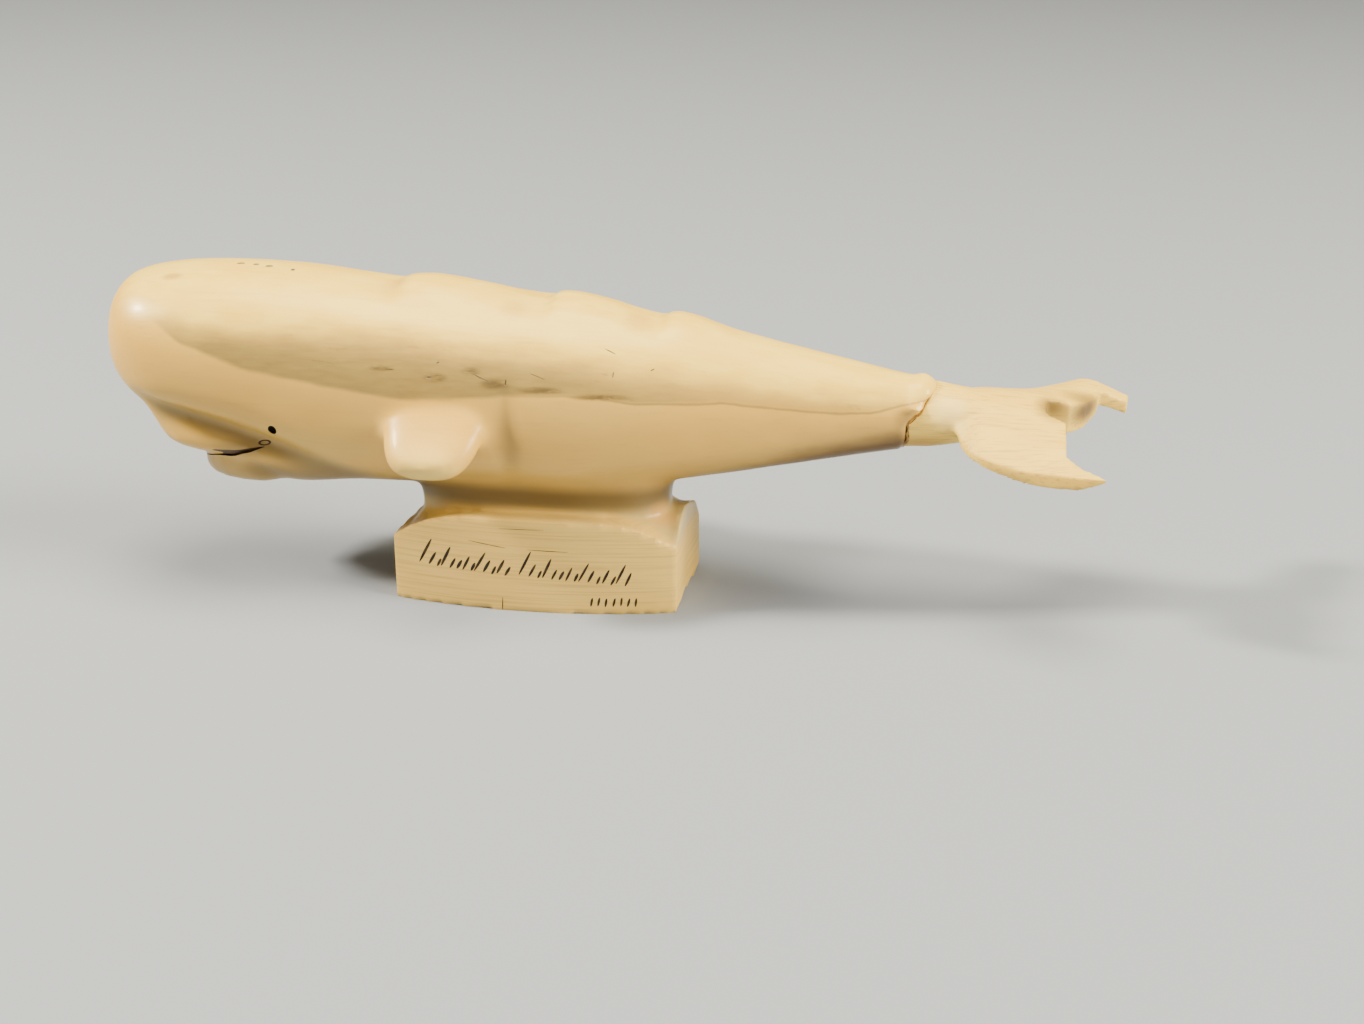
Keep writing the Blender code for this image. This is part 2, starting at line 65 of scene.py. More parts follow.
# The body's underside, the plinth's arched top edge and the crease from nose to fin
UNDERSIDE = (
    (-30.0, 12.6), (-10.0, 12.8), (4.0, 13.2), (14.0, 14.2), (22.0, 15.6), (31.0, 18.3),
    (43.0, 21.0),
)
PLINTH_TOP = (
    (-16.3, 7.6), (-13.0, 9.7), (-9.0, 10.8), (0.0, 11.1), (9.0, 10.8), (13.0, 9.7), (16.3, 7.6),
)
CREASE = (
    (-44.5, 22.8), (-41.8, 21.8), (-36.8, 20.2), (-31.7, 18.6), (-25.9, 16.9), (-18.3, 14.6),
    (-12.0, 12.9),
)

# The solid's mouth slit and the finer one cut in its place, as (x, z) on the middle plane
MOUTH_LINE = (
    (-43.0, 14.05), (-40.7, 14.05), (-37.0, 14.15), (-34.5, 13.8), (-32.8, 13.6),
    (-31.3, 13.95), (-30.0, 14.6),
)
SLIT_LINE = (
    (-43.0, 14.1), (-40.7, 14.1), (-37.0, 14.2), (-34.5, 14.0), (-33.0, 13.95),
    (-31.5, 14.2), (-30.3, 14.7), (-29.8, 15.1),
)
# Both rise with the square of y
MOUTH_WRAP = 0.0563
# Half width and half thickness of the filler, and of the cutter, at each x
JAW_HALF = (
    (-39.5, 1.0), (-38.0, 3.3), (-36.3, 4.6), (-34.3, 5.6), (-33.0, 6.7), (-31.8, 7.2),
    (-29.9, 7.3),
)
FILLER_GAP = ((-45.0, 1.2), (-25.0, 1.2))
CUT_HALF = ((-41.5, 9.0), (-30.3, 9.0))
LIP_GAP = (
    (-41.0, 0.12), (-36.6, 0.16), (-35.2, 0.30), (-33.0, 0.42), (-32.0, 0.50), (-31.0, 0.36),
    (-30.3, 0.05),
)

EYE_X = -28.35
EYE_Z = 20.5
EYE_RIMS = (-29.6, -27.1)
EYE_BORE = 1.05
EYE_DEPTH = 1.1
PLUG_RADIUS = 0.85
PLUG_SUNK = 0.72
RING_X = -30.3
RING_Z = 17.95

# The ragged break, as (z, x), and the body's bottom and height, which space its teeth
BREAK = (
    (18.5, 40.30), (20.0, 40.50), (21.5, 40.60), (22.9, 41.00), (24.0, 41.70), (24.8, 42.60),
    (25.6, 43.10), (27.0, 43.20),
)
BREAK_TEETH = 0.18
BODY_BOTTOM = 11.35
BODY_HEIGHT = 25.3

# The glued joint's oval section
JOINT_Z = 22.5
JOINT_HALF_WIDTH = 4.15
JOINT_HALF_HEIGHT = 3.85

PLINTH_HALF = 16.3
PLINTH_HALF_DEPTH = 8
PLINTH_EDGE = 7.6
PLINTH_ARCH = 3.5
PLINTH_END_ARCH = 2.8

# Front of each hump on the back, as (x, z)
HUMP_FRONTS = ((-15.6, 35.2), (0.4, 34.0), (12.8, 31.8))


def pick(*pieces):
    bpy.ops.object.select_all(action="DESELECT")
    for piece in pieces:
        piece.select_set(True)
    bpy.context.view_layer.objects.active = pieces[0]


def apply_modifier(piece, modifier):
    pick(piece)
    bpy.ops.object.modifier_apply(modifier=modifier.name)


def blank_from(node, name):
    """A carving blank: the CAD shape copied into a new mesh and welded."""
    blank = bpy.data.objects.new(name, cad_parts[node].data.copy())
    bpy.context.scene.collection.objects.link(blank)
    pick(blank)
    bpy.ops.object.mode_set(mode="EDIT")
    bpy.ops.mesh.select_all(action="SELECT")
    bpy.ops.mesh.remove_doubles(threshold=0.01 * MM)
    bpy.ops.object.mode_set(mode="OBJECT")
    blank.data.materials.clear()
    return blank


def close_grained(piece, size):
    """Rebuilds the surface in small even faces."""
    modifier = piece.modifiers.new("even_faces", "REMESH")
    modifier.mode = "VOXEL"
    modifier.voxel_size = size * MM
    apply_modifier(piece, modifier)


def points_of(piece):
    flat = np.empty(len(piece.data.vertices) * 3)
    piece.data.vertices.foreach_get("co", flat)
    return flat.reshape(-1, 3) / MM


def unit_points(piece):
    """Points of a shape that was made in units, not in millimetres."""
    return points_of(piece) * MM


def set_points(piece, points):
    piece.data.vertices.foreach_set("co", (points * MM).ravel())
    piece.data.update()


def outward_of(piece):
    flat = np.empty(len(piece.data.vertices) * 3)
    piece.data.vertex_normals.foreach_get("vector", flat)
    return flat.reshape(-1, 3)


def ramp(value, low, high):
    """0 below low, 1 above high, and an eased rise between."""
    t = np.clip((value - low) / (high - low), 0, 1)
    return t * t * (3 - 2 * t)


def along(line, x):
    return np.interp(x, [point[0] for point in line], [point[1] for point in line])


def break_line(y, z):
    """Where the ragged break runs, as x."""
    level = (z - BODY_BOTTOM) / BODY_HEIGHT
    side = y / BODY_HEIGHT
    ragged = np.sin(58 * level + 15 * side) + 0.7 * np.sin(43 * side + 1) - 0.6 * np.sin(99 * level)
    return along(BREAK, z) + BREAK_TEETH * ragged


def rub_down(piece, amount, rounds):
    """Sandpaper: evens out the surface, by amount at each point, in steps of a twentieth."""
    group = piece.vertex_groups.new(name="rubbed")
    level = np.round(amount * 20).astype(int)
    for step in range(1, 21):
        chosen = np.nonzero(level == step)[0]
        if len(chosen):
            group.add(chosen.tolist(), step / 20, "REPLACE")
    modifier = piece.modifiers.new("rubbed", "SMOOTH")
    modifier.factor = 0.5
    modifier.iterations = rounds
    modifier.vertex_group = group.name
    apply_modifier(piece, modifier)


def move_out(points, outward, amount):
    """Moves each point along its outward direction by its own amount."""
    return points + outward * amount[:, None]


def press(points, outward, centre, reach, depth):
    """Pushes the surface in around a centre; a minus depth raises it."""
    away = (points - np.array(centre)) / np.array(reach)
    return points - outward * (depth * np.exp(-(away ** 2).sum(1)))[:, None]


def hand_unevenness(points, size, seed):
    """Slow waves, from about -1 to 1, such as a knife and a file leave."""
    a, b, c = (points / size).T
    waves = np.sin(a + 1.9 * np.sin(0.7 * b + seed)) + np.sin(1.3 * b + 1.4 * np.sin(0.9 * c + 2 * seed))
    return (waves + np.sin(1.1 * c + 1.6 * np.sin(0.8 * a + 3 * seed))) / 3


def from_side(piece, x, z, side=-1):
    """Point and outward direction where a level line from one side meets the piece."""
    _, place, outward, _ = piece.ray_cast(Vector((x, 60 * side, z)) * MM, Vector((0, -side, 0)))
    return place / MM, outward


def from_above(piece, x, y):
    _, place, outward, _ = piece.ray_cast(Vector((x, y, 90)) * MM, Vector((0, 0, -1)))
    return place / MM, outward


def level_with(outward, run):
    """The run, laid flat on the surface."""
    run = Vector(run)
    return (run - outward * run.dot(outward)).normalized()


def spindle(place, outward, run, length, width, depth):
    """A cutter that leaves one stroke with tapered ends, along run and sunk to depth."""
    bpy.ops.mesh.primitive_uv_sphere_add(segments=10, ring_count=8, radius=1.0, location=(0, 0, 0))
    tool = bpy.context.object
    out = Vector(outward).normalized()
    run = level_with(out, run)
    turn = np.array((out.cross(run), out, run)).T
    size = np.array((width / 2, depth, length / 2))
    set_points(tool, (unit_points(tool) * size) @ turn.T + np.array(place))
    return tool


def ball(place, radius):
    bpy.ops.mesh.primitive_uv_sphere_add(segments=16, ring_count=12, radius=1.0, location=(0, 0, 0))
    piece = bpy.context.object
    set_points(piece, unit_points(piece) * radius + np.array(place))
    return piece


def joined(tools, name):
    pick(*tools)
    bpy.ops.object.join()
    tool = bpy.context.object
    tool.name = name
    return tool


def cut(piece, tool, finish):
    """Cuts the tool's shape out; the cut's own faces get the given finish."""
    tool.data.materials.clear()
    tool.data.materials.append(finish)
    modifier = piece.modifiers.new(tool.name, "BOOLEAN")
    modifier.operation = "DIFFERENCE"
    modifier.solver = "EXACT"
    modifier.object = tool
    modifier.material_mode = "TRANSFER"
    apply_modifier(piece, modifier)
    bpy.data.objects.remove(tool)


# Finishes


class Wire:
    """A shader socket; sums on it add Math nodes."""

    def __init__(self, finish, socket):
        self.finish = finish
        self.socket = socket

    def math(self, operation, first, second):
        return self.finish.node("ShaderNodeMath", {"operation": operation}, {0: first, 1: second})

    def __add__(self, other):
        return self.math("ADD", self, other)

    def __radd__(self, other):
        return self.math("ADD", other, self)

    def __sub__(self, other):
        return self.math("SUBTRACT", self, other)

    def __rsub__(self, other):
        return self.math("SUBTRACT", other, self)

    def __mul__(self, other):
        return self.math("MULTIPLY", self, other)

    def __rmul__(self, other):
        return self.math("MULTIPLY", other, self)

    def __abs__(self):
        return self.math("ABSOLUTE", self, 0.0)


class Finish:
    """One material, built node by node; places are in millimetres and colours are linear."""

    def __init__(self, name):
        self.material = bpy.data.materials.new(name)
        self.material.use_nodes = True
        self.tree = self.material.node_tree
        self.shader = self.tree.nodes["Principled BSDF"]
        metres = self.node("ShaderNodeTexCoord", output="Object")
        self.place = self.node("ShaderNodeVectorMath", {"operation": "SCALE"}, {0: metres, "Scale": 1 / MM})
        self.x = self.node("ShaderNodeSeparateXYZ", inputs={0: self.place}, output=0)
        self.z = self.node("ShaderNodeSeparateXYZ", inputs={0: self.place}, output=2)

    def node(self, kind, settings=None, inputs=None, output=0):
        made = self.tree.nodes.new(kind)
        settings = dict(settings or {})
        stops = settings.pop("stops", None)
        for name, value in settings.items():
            setattr(made, name, value)
        if stops:
            elements = made.color_ramp.elements
            while len(elements) < len(stops):
                elements.new(0.5)
            for element, (position, colour) in zip(elements, stops):
                element.position = position
                element.color = colour
        for name, value in (inputs or {}).items():
            self.plug(made.inputs[name], value)
        return Wire(self, made.outputs[output])

    def plug(self, socket, value):
        if isinstance(value, Wire):
            self.tree.links.new(value.socket, socket)
        else:
            socket.default_value = value

    def set(self, **sockets):
        """Fills the shader's sockets; an underscore stands for a space."""
        for name, value in sockets.items():
            self.plug(self.shader.inputs[name.replace("_", " ")], value)
        return self.material

    def noise(self, scale, detail=3.0, stretch=(1, 1, 1), shift=0.0, roughness=0.5):
        """Cloudy noise from 0 to 1; scale is in lumps per mm."""
        place = self.node("ShaderNodeMapping", None, {0: self.place, 1: (shift, shift, shift), 3: stretch})
        return self.node(
            "ShaderNodeTexNoise",
            None,
            {"Vector": place, "Scale": scale, "Detail": detail, "Roughness": roughness},
        )

    def rise(self, value, low, high):
        """0 below low, 1 above high, and an eased rise between."""
        return self.node(
            "ShaderNodeMapRange",
            {"interpolation_type": "SMOOTHSTEP"},
            {"Value": value, "From Min": low, "From Max": high},
        )

    def fall(self, value, low, high):
        """1 below low, 0 above high, and an eased fall between."""
        return 1.0 - self.rise(value, low, high)

    def blend(self, share, first, second):
        return self.node("ShaderNodeMix", {"data_type": "RGBA"}, {0: share, 6: first, 7: second}, output=2)

    def line(self, points):
        """Height of a line of (x, z) points, at each place's x."""
        start, end = points[0][0], points[-1][0]
        low = min(z for _, z in points)
        span = max(z for _, z in points) - low
        t = (self.x - start) * (1 / (end - start))
        stops = [((x - start) / (end - start), (*[(z - low) / span] * 3, 1)) for x, z in points]
        return self.node("ShaderNodeValToRGB", {"stops": stops}, {0: t}) * span + low

    def spot(self, centre, reach):
        """1 at a centre, falling to 0 at the edge of an oval."""
        away = self.node("ShaderNodeVectorMath", {"operation": "SUBTRACT"}, {0: self.place, 1: centre})
        scaled = self.node("ShaderNodeVectorMath", {"operation": "DIVIDE"}, {0: away, 1: reach})
        length = self.node("ShaderNodeVectorMath", {"operation": "LENGTH"}, {0: scaled}, output="Value")
        return self.fall(length, 0.2, 1.0)

    def dab(self, colour, centre, reach, share, tint):
        """The colour with an oval of a tint laid over it."""
        return self.blend(share * self.spot(centre, reach), colour, tint)

    def bump(self, height, strength, distance):
        return self.node(
            "ShaderNodeBump",
            None,
            {"Strength": strength, "Distance": distance * MM, "Height": height},
            "Normal",
        )


def paint_layers(finish, mottle, streak):
    """Smooth dentine below, the tooth's grey outer layer in a band, and cream on the back, lighter than the
    dentine partly as painted light from above.
    """
    x, z = finish.x, finish.z
    edge = z - finish.line(BODY_EDGE) + (mottle - 0.5) * 0.7
    above = finish.rise(edge, -0.25, 0.45)
    top = z - finish.line(BARK_TOP) + (mottle - 0.5) * 2.2
    band = above * finish.fall(top, -2.4, 1.6) * finish.rise(x, -46.0, -38.0)

    cloud = finish.noise(0.13, 3.0, (0.6, 1, 1))
    dentine = finish.blend(finish.rise(cloud, 0.3, 0.7), (0.74, 0.43, 0.070, 1), (0.76, 0.475, 0.095, 1))
    # Cream on the back: its own tone, made lighter partly as painted light falling from above
    cream_with_painted_light = finish.blend(finish.rise(mottle, 0.35, 0.7), (0.86, 0.58, 0.08, 1), (0.89, 0.64, 0.12, 1))
    colour = finish.blend(finish.rise(top, -1.5, 1.5), dentine, cream_with_painted_light)

    grain = finish.noise(3.4, 3.0, (0.07, 1, 1), 31.0)
    grey = finish.blend(finish.rise(streak, 0.25, 0.75), (0.33, 0.235, 0.068, 1), (0.25, 0.175, 0.054, 1))
    grey = finish.blend(finish.rise(grain, 0.45, 0.75) * 0.5, grey, (0.25, 0.17, 0.05, 1))
    ahead = finish.fall(x, -2.0, 28.0)
    colour = finish.blend(band * (0.48 + ahead * 0.42), colour, grey)

    # Smudges in the band
    smudge = finish.rise(streak, 0.58, 0.70) * finish.rise(mottle, 0.48, 0.62)
    colour = finish.blend(smudge * band * 0.5, colour, (0.15, 0.10, 0.032, 1))
    for centre, reach in (
        ((-9.5, -10.1, 27.6), (1.8, 3.0, 0.7)),
        ((-5.7, -9.6, 28.3), (1.4, 3.0, 0.6)),
        ((-3.2, -10.0, 27.1), (2.2, 3.0, 0.8)),
        ((1.9, -9.8, 26.6), (3.4, 3.0, 0.5)),
        ((8.3, -9.2, 25.9), (4.2, 3.0, 0.5)),
        ((-15.5, -9.0, 28.4), (2.6, 3.0, 0.5)),
    ):
        share = finish.spot(centre, reach) * finish.rise(streak, 0.30, 0.55)
        colour = finish.blend(share * 0.9, colour, (0.12, 0.08, 0.03, 1))

    # Thin dark line where the outer layer was cut through
    crack = finish.fall(abs(edge), 0.0, 0.24) * finish.rise(x, -6.0, 14.0)
    crack = crack * finish.rise(z, 20.0, 21.0)
    return finish.blend(crack * 0.6, colour, (0.22, 0.145, 0.05, 1)), band


def paint_stain_and_shade(finish, colour, mottle, block):
    """Painted shade along the underside, in the plinth's cove and waist, in the hollows and along the crease,
    and a stain near the tail that is partly painted shade.
    """
    x, z = finish.x, finish.z
    low = z - finish.line(UNDERSIDE) + (mottle - 0.5) * 1.6
    # Painted shade: darker along the body's underside
    belly = finish.fall(low, -0.5, 4.6) * finish.rise(z, 11.0, 12.6)
    colour = finish.blend(belly * 0.62, colour, (0.29, 0.205, 0.08, 1))
    # Brown near the tail's underside: partly a real stain, partly painted shade
    stain_and_shade = finish.fall(low, -0.4, 2.4) * finish.rise(x, 14.0, 31.0)
    colour = finish.blend(stain_and_shade, colour, (0.14, 0.075, 0.020, 1))

    # Painted shade on the plinth: its cove greyed and its waist darkened where the belly shades them
    waist_shade = finish.fall(abs(z - 12.6), 0.4, 2.4) * finish.fall(abs(x), 14.5, 18.0)
    cove_shade = (1.0 - block) * finish.fall(z, 11.8, 13.0)
    colour = finish.blend(cove_shade * 0.7, colour, (0.50, 0.42, 0.20, 1))
    colour = finish.blend(waist_shade * 0.78, colour, (0.10, 0.075, 0.040, 1))

    # Painted shade under the crease, behind and below the jaw, and behind and below the fin
    for centre, reach, share in (
        ((-33.4, -7.2, 17.0), (4.6, 4.0, 1.6), 0.45),
        ((-23.5, -6.6, 14.0), (9.0, 5.0, 3.0), 0.66),
        ((-30.6, -6.4, 14.2), (4.4, 4.0, 2.2), 0.60),
        ((-1.9, -10.0, 20.5), (2.1, 4.0, 7.0), 0.42),
        ((-6.0, -10.5, 15.0), (6.0, 4.0, 2.4), 0.50),
    ):
        colour = finish.dab(colour, centre, reach, share, (0.15, 0.10, 0.038, 1))
    # Painted shade along the crease from the nose
    crease = finish.fall(abs(z + 0.4 - finish.line(CREASE)), 0.0, 2.2)
    crease = crease * finish.rise(x, -46.0, -41.0) * finish.fall(x, -28.0, -16.0)
    return finish.blend(crease * 0.72, colour, (0.11, 0.088, 0.052, 1))


def polished_ivory():
    finish = Finish("polished_ivory")
    mottle = finish.noise(0.5, 4.0, (0.35, 1, 1), 7.0)
    fibre = finish.noise(2.6, 3.0, (0.05, 1, 1), 3.0)
    streak = finish.noise(1.5, 5.0, (0.22, 1, 1), 13.0, 0.62)
    speck = finish.noise(3.0, 4.0, (0.5, 1, 1), 21.0, 0.6)
    saw = finish.noise(4.2, 2.0, (0.02, 0.02, 1), 5.0)
    block = finish.fall(finish.z - finish.line(PLINTH_TOP), -0.4, 0.6)

    colour, band = paint_layers(finish, mottle, streak)
    colour = finish.blend(finish.rise(fibre, 0.5, 0.85) * 0.22, colour, (0.45, 0.27, 0.06, 1))
    colour = finish.blend(finish.rise(speck, 0.69, 0.8) * 0.35, colour, (0.30, 0.18, 0.05, 1))
    colour = paint_stain_and_shade(finish, colour, mottle, block)

    for centre, reach, share, tint in (
        # Painted light: a warm glow in the hollow at the plinth's tail end, and the fin's outer face made
        # brighter
        ((14.2, -3.9, 10.6), (2.4, 3.0, 2.0), 0.45, (0.80, 0.38, 0.06, 1)),
        ((-9.6, -15.4, 18.6), (5.6, 3.4, 4.6), 0.6, (0.95, 0.70, 0.19, 1)),
        # Stain on the head, painted shade before the break, and tan in front of the humps, partly real tone
        # and partly painted shade of the file scoops
        ((-40.6, -3.6, 35.8), (1.8, 1.0, 0.9), 0.6, (0.42, 0.20, 0.05, 1)),
        ((40.5, -3.8, 23.3), (1.7, 2.6, 2.4), 0.45, (0.25, 0.16, 0.05, 1)),
        ((-15.8, -1.5, 35.0), (2.4, 3.2, 1.8), 0.45, (0.62, 0.36, 0.08, 1)),
        ((-2.2, -3.0, 33.2), (2.4, 3.2, 1.8), 0.45, (0.62, 0.36, 0.08, 1)),
        ((11.2, -2.0, 32.2), (2.4, 3.2, 1.8), 0.45, (0.62, 0.36, 0.08, 1)),
    ):
        colour = finish.dab(colour, centre, reach, share, tint)

    # Saw lines on the block of the plinth
    colour = finish.blend(block * 0.6, colour, (0.79, 0.56, 0.15, 1))
    colour = finish.blend(block * finish.rise(saw, 0.42, 0.75) * 0.4, colour, (0.38, 0.24, 0.065, 1))

    gloss = 0.36 + (mottle - 0.5) * 0.12 + band * 0.12 + block * 0.12 + (speck - 0.5) * 0.06
    gloss = gloss + finish.spot((-9.6, -14.0, 18.6), (8.0, 5.0, 7.0)) * 0.2
    height = fibre * 0.5 + speck * 0.25 + streak * band * 0.6 + saw * block * 0.9
    return finish.set(
        Base_Color=colour,
        Roughness=gloss,
        Normal=finish.bump(height, 0.35, 0.06),
        Specular_IOR_Level=0.4,
        Subsurface_Weight=0.04,
        Subsurface_Radius=(1.0, 0.6, 0.25),
        Subsurface_Scale=1.2 * MM,
        Coat_Weight=0.08,
        Coat_Roughness=0.15,
    )


def matt_ivory():
    finish = Finish("matt_ivory")
    mottle = finish.noise(0.4, 4.0, (0.4, 1, 1), 4.0)
    fibre = finish.noise(3.6, 3.0, (0.06, 1, 1), 9.0)
    speck = finish.noise(2.4, 4.0, (0.45, 1, 1), 17.0, 0.6)
    colour = finish.blend(finish.rise(mottle, 0.3, 0.7), (0.83, 0.54, 0.08, 1), (0.87, 0.61, 0.11, 1))
    colour = finish.blend(finish.rise(fibre, 0.48, 0.74) * 0.55, colour, (0.44, 0.27, 0.06, 1))
    for centre, reach, share in (
        # Painted shade in the slot between the flukes, on the far fluke's near wall, and on the near fluke's
        # edge
        ((56.4, -0.7, 23.7), (3.0, 3.4, 2.4), 1.0),
        ((59.4, 4.0, 22.6), (5.0, 4.6, 2.1), 1.0),
        ((50.5, -10.5, 18.8), (6.0, 3.0, 1.5), 0.45),
        ((58.0, -12.3, 18.6), (5.0, 2.0, 1.2), 0.45),
    ):
        colour = finish.dab(colour, centre, reach, share, (0.15, 0.09, 0.028, 1))
    colour = finish.blend(finish.rise(speck, 0.64, 0.78) * 0.5, colour, (0.34, 0.21, 0.06, 1))
    # Painted light on the bulge of the stock just behind the break
    colour = finish.dab(colour, (45.2, -3.6, 24.0), (3.0, 3.0, 2.6), 0.6, (0.94, 0.74, 0.33, 1))
    under = finish.fall(finish.z, 20.3, 21.6) * finish.fall(finish.x, 43.5, 47.0)
    colour = finish.blend(under * 0.6, colour, (0.46, 0.24, 0.04, 1))
    return finish.set(
        Base_Color=colour,
        Roughness=0.50 + (mottle - 0.5) * 0.16,
        Normal=finish.bump(fibre * 0.8 + speck * 0.4, 0.4, 0.08),
        Subsurface_Weight=0.2,
        Subsurface_Radius=(1.0, 0.55, 0.25),
        Subsurface_Scale=1.4 * MM,
    )


def scratched_ink(name, dark, light):
    """Ink rubbed into a cut, thinner in places."""
    finish = Finish(name)
    worn = finish.rise(finish.noise(1.1, 3.0), 0.42, 0.72)
    return finish.set(Base_Color=finish.blend(worn, dark, light), Roughness=0.5 + worn * 0.2)


def old_glue():
    finish = Finish("old_glue")
    thick = finish.rise(finish.noise(0.9, 3.0), 0.35, 0.7)
    return finish.set(
        Base_Color=finish.blend(thick, (0.40, 0.205, 0.035, 1), (0.23, 0.105, 0.016, 1)),
        Roughness=0.28 + thick * 0.1,
        Subsurface_Weight=0.3,
        Subsurface_Radius=(1.0, 0.5, 0.15),
        Subsurface_Scale=1.0 * MM,
    )


# Carving


def mouth_sheet(line, half_width, half_thickness):
    """A sheet bent to the line between the jaws."""
    bpy.ops.mesh.primitive_grid_add(x_subdivisions=34, y_subdivisions=40, size=2.0, location=(0, 0, 0))
    sheet = bpy.context.object
    sheet.name = "mouth_slit"
    modifier = sheet.modifiers.new("kerf", "SOLIDIFY")
    modifier.thickness = 1.0
    modifier.offset = 0.0
    apply_modifier(sheet, modifier)
    u = unit_points(sheet)
    start, end = half_width[0][0], half_width[-1][0]
    x = start + (end - start) * (u[:, 0] + 1) / 2
    y = along(half_width, x) * u[:, 1]
    middle = sum(along(line, x + shift) for shift in (-0.9, -0.3, 0.3, 0.9)) / 4
    z = middle + MOUTH_WRAP * y * y + along(half_thickness, x) * u[:, 2]
    set_points(sheet, np.stack((x, y, z), 1))
    return sheet


def eye_places(whale):
    """The middle of each eye on the surface, from a point before it and one behind."""
    places = []
    for side in (-1, 1):
        rims = [from_side(whale, x, EYE_Z, side)[0].y for x in EYE_RIMS]
        places.append((EYE_X, sum(rims) / len(rims), EYE_Z))
    return places


def whale_blank():
    """The solid in small even faces, its coarse slit and eyes filled for finer ones."""
    blank = blank_from("whale_body", "carved_whale")
    filler = mouth_sheet(MOUTH_LINE, JAW_HALF, FILLER_GAP)
    plugs = [ball((x, y - math.copysign(PLUG_SUNK, y), z), PLUG_RADIUS) for x, y, z in eye_places(blank)]
    whale = joined((blank, filler, *plugs), "carved_whale")
    close_grained(whale, BODY_GRAIN)
    return whale


def rub_whale(whale):
    """The body is rubbed smooth; fins, jaw, humps and break less; and the block keeps its edges."""
    x, y, z = points_of(whale).T
    off_middle = np.abs(y)
    amount = ramp(z, 10.4, 12.6)
    fin = ramp(off_middle, 10.4, 11.6) * ramp(x, -17.5, -15.5) * (1 - ramp(x, -3.5, -1.5))
    fin *= 1 - ramp(z, 24, 26)
    amount *= 1 - 0.8 * fin
    jaw = ramp(x, -43, -41) * (1 - ramp(x, -31, -28)) * (1 - ramp(z - MOUTH_WRAP * y * y, 14.8, 16.8))
    amount *= 1 - 0.82 * jaw
    ridge = ramp(x, -17, -14) * (1 - ramp(x, 21, 24)) * (1 - ramp(off_middle, 2.5, 5)) * ramp(z, 28, 30)
    amount *= 1 - 0.9 * ridge
    amount *= 1 - 0.8 * ramp(x, 39.0, 40.2)

    share = x / PLINTH_HALF
    edge = PLINTH_EDGE + PLINTH_ARCH * (1 - share ** 4)
    edge = edge + PLINTH_END_ARCH * np.clip(share, 0, 1) * (1 - (y / PLINTH_HALF_DEPTH) ** 4)
    to_edge = np.minimum(np.minimum(z, np.abs(z - edge)), PLINTH_HALF - np.abs(x))
    amount = np.maximum(amount, 0.5 * ramp(to_edge, 0.4, 1.4) * (1 - ramp(z, 11, 12)))
    rub_down(whale, amount, 40)


def shape_whale(whale):
    """Moves the surface in and out, where a knife and a file shaped it."""
    p = points_of(whale)
    n = outward_of(whale)
    x, y, z = p.T

    # File scoops in front of each hump
    for front, height in HUMP_FRONTS:
        for side in (-1, 1):
            p = press(p, n, (front, side * 1.6, height), (2.4, 2.0, 2.2), 0.22)

    # Crease from the nose to the fin, with the upper lip swelling below it
    crease = np.exp(-(((z - along(CREASE, x)) / 1.4) ** 2)) * ramp(np.abs(y), 1.0, 4.5)
    crease = crease * ramp(x, -46, -43) * (1 - ramp(x, -29, -19))
    p = move_out(p, n, -0.62 * crease)
    for side in (-1, 1):
        p = press(p, n, (-38.6, side * 6.4, 17.4), (3.2, 3.0, 1.4), -0.30)

    # Valley behind the near fin, and the belly's swell behind it
    seam = np.exp(-(((x + 1.9) / 1.1) ** 2)) * ramp(z, 13, 17) * (1 - ramp(z, 25, 28)) * ramp(-y, 4, 7)
    p = move_out(p, n, -0.32 * seam)
    p = press(p, n, (3.0, -8.0, 15.0), (4.0, 4.5, 3.0), -0.35)

    # Ragged lip over the break, and the bump above it
    back = break_line(y, z) - x
    lip = (1 - ramp(back, 0.9, 2.6)) * ramp(z, 23.4, 24.6) * ramp(-y, -2.0, 0.5)
    flakes = 0.30 + 0.16 * np.sin(2.1 * z + 1.7 * x) + 0.10 * np.sin(5.3 * z - 3.1 * y)
    p = move_out(p, n, lip * flakes)
    p = press(p, n, (42.2, -0.4, 26.8), (1.3, 1.8, 1.2), -0.28)

    # Slow hand-made unevenness over the body
    body = ramp(z, 11.5, 14)
    for size, seed, height in ((3.2, 1.0, 0.05), (1.1, 2.0, 0.02)):
        p = move_out(p, n, height * hand_unevenness(p, size, seed) * body)
    set_points(whale, p)


def stroke(whale, x, z, tilt, length, width, depth):
    """One straight cut in the near side; tilt is its lean from upright, in radians."""
    place, outward = from_side(whale, x, z)
    return spindle(place, outward, (math.sin(tilt), 0, math.cos(tilt)), length, width, depth)


def stroke_tools(whale):
    """Two rows of short slanted strokes and a row of ticks below, in place of an inscription."""
    rows = (
        # Start, end, spacing, foot at start and end, height, lean, width
        (-12.2, -2.4, 0.80, 4.6, 4.2, 1.75, 0.50, 0.37),
        (-0.6, 11.6, 0.82, 4.3, 3.4, 1.65, 0.46, 0.33),
    )
    tools = []
    for start, end, spacing, foot_start, foot_end, height, lean, width in rows:
        count = int((end - start) / spacing) + 1
        for k in range(count):
            foot = foot_start + (foot_end - foot_start) * k / count
            tall = height * (2.0 if k == 0 else 1.6 if k % 5 == 3 else 0.9 + 0.25 * math.sin(2.4 * k))
            middle = foot + tall / 2 + 0.15 * math.sin(3.1 * k)
            tilt = lean + 0.04 * math.sin(1.7 * k)
            wide = width + 0.03 * math.sin(2.9 * k)
            tools.append(stroke(whale, start + k * spacing, middle, tilt, tall, wide, 0.13))
    for k, x in enumerate((6.8, 7.6, 8.4, 9.3, 10.1, 10.9, 11.7)):
        z = 1.5 + 0.06 * math.sin(2 * k)
        tools.append(stroke(whale, x, z, 0.2 + 0.12 * math.sin(3 * k), 1.1, 0.30, 0.10))
    return joined(tools, "strokes")


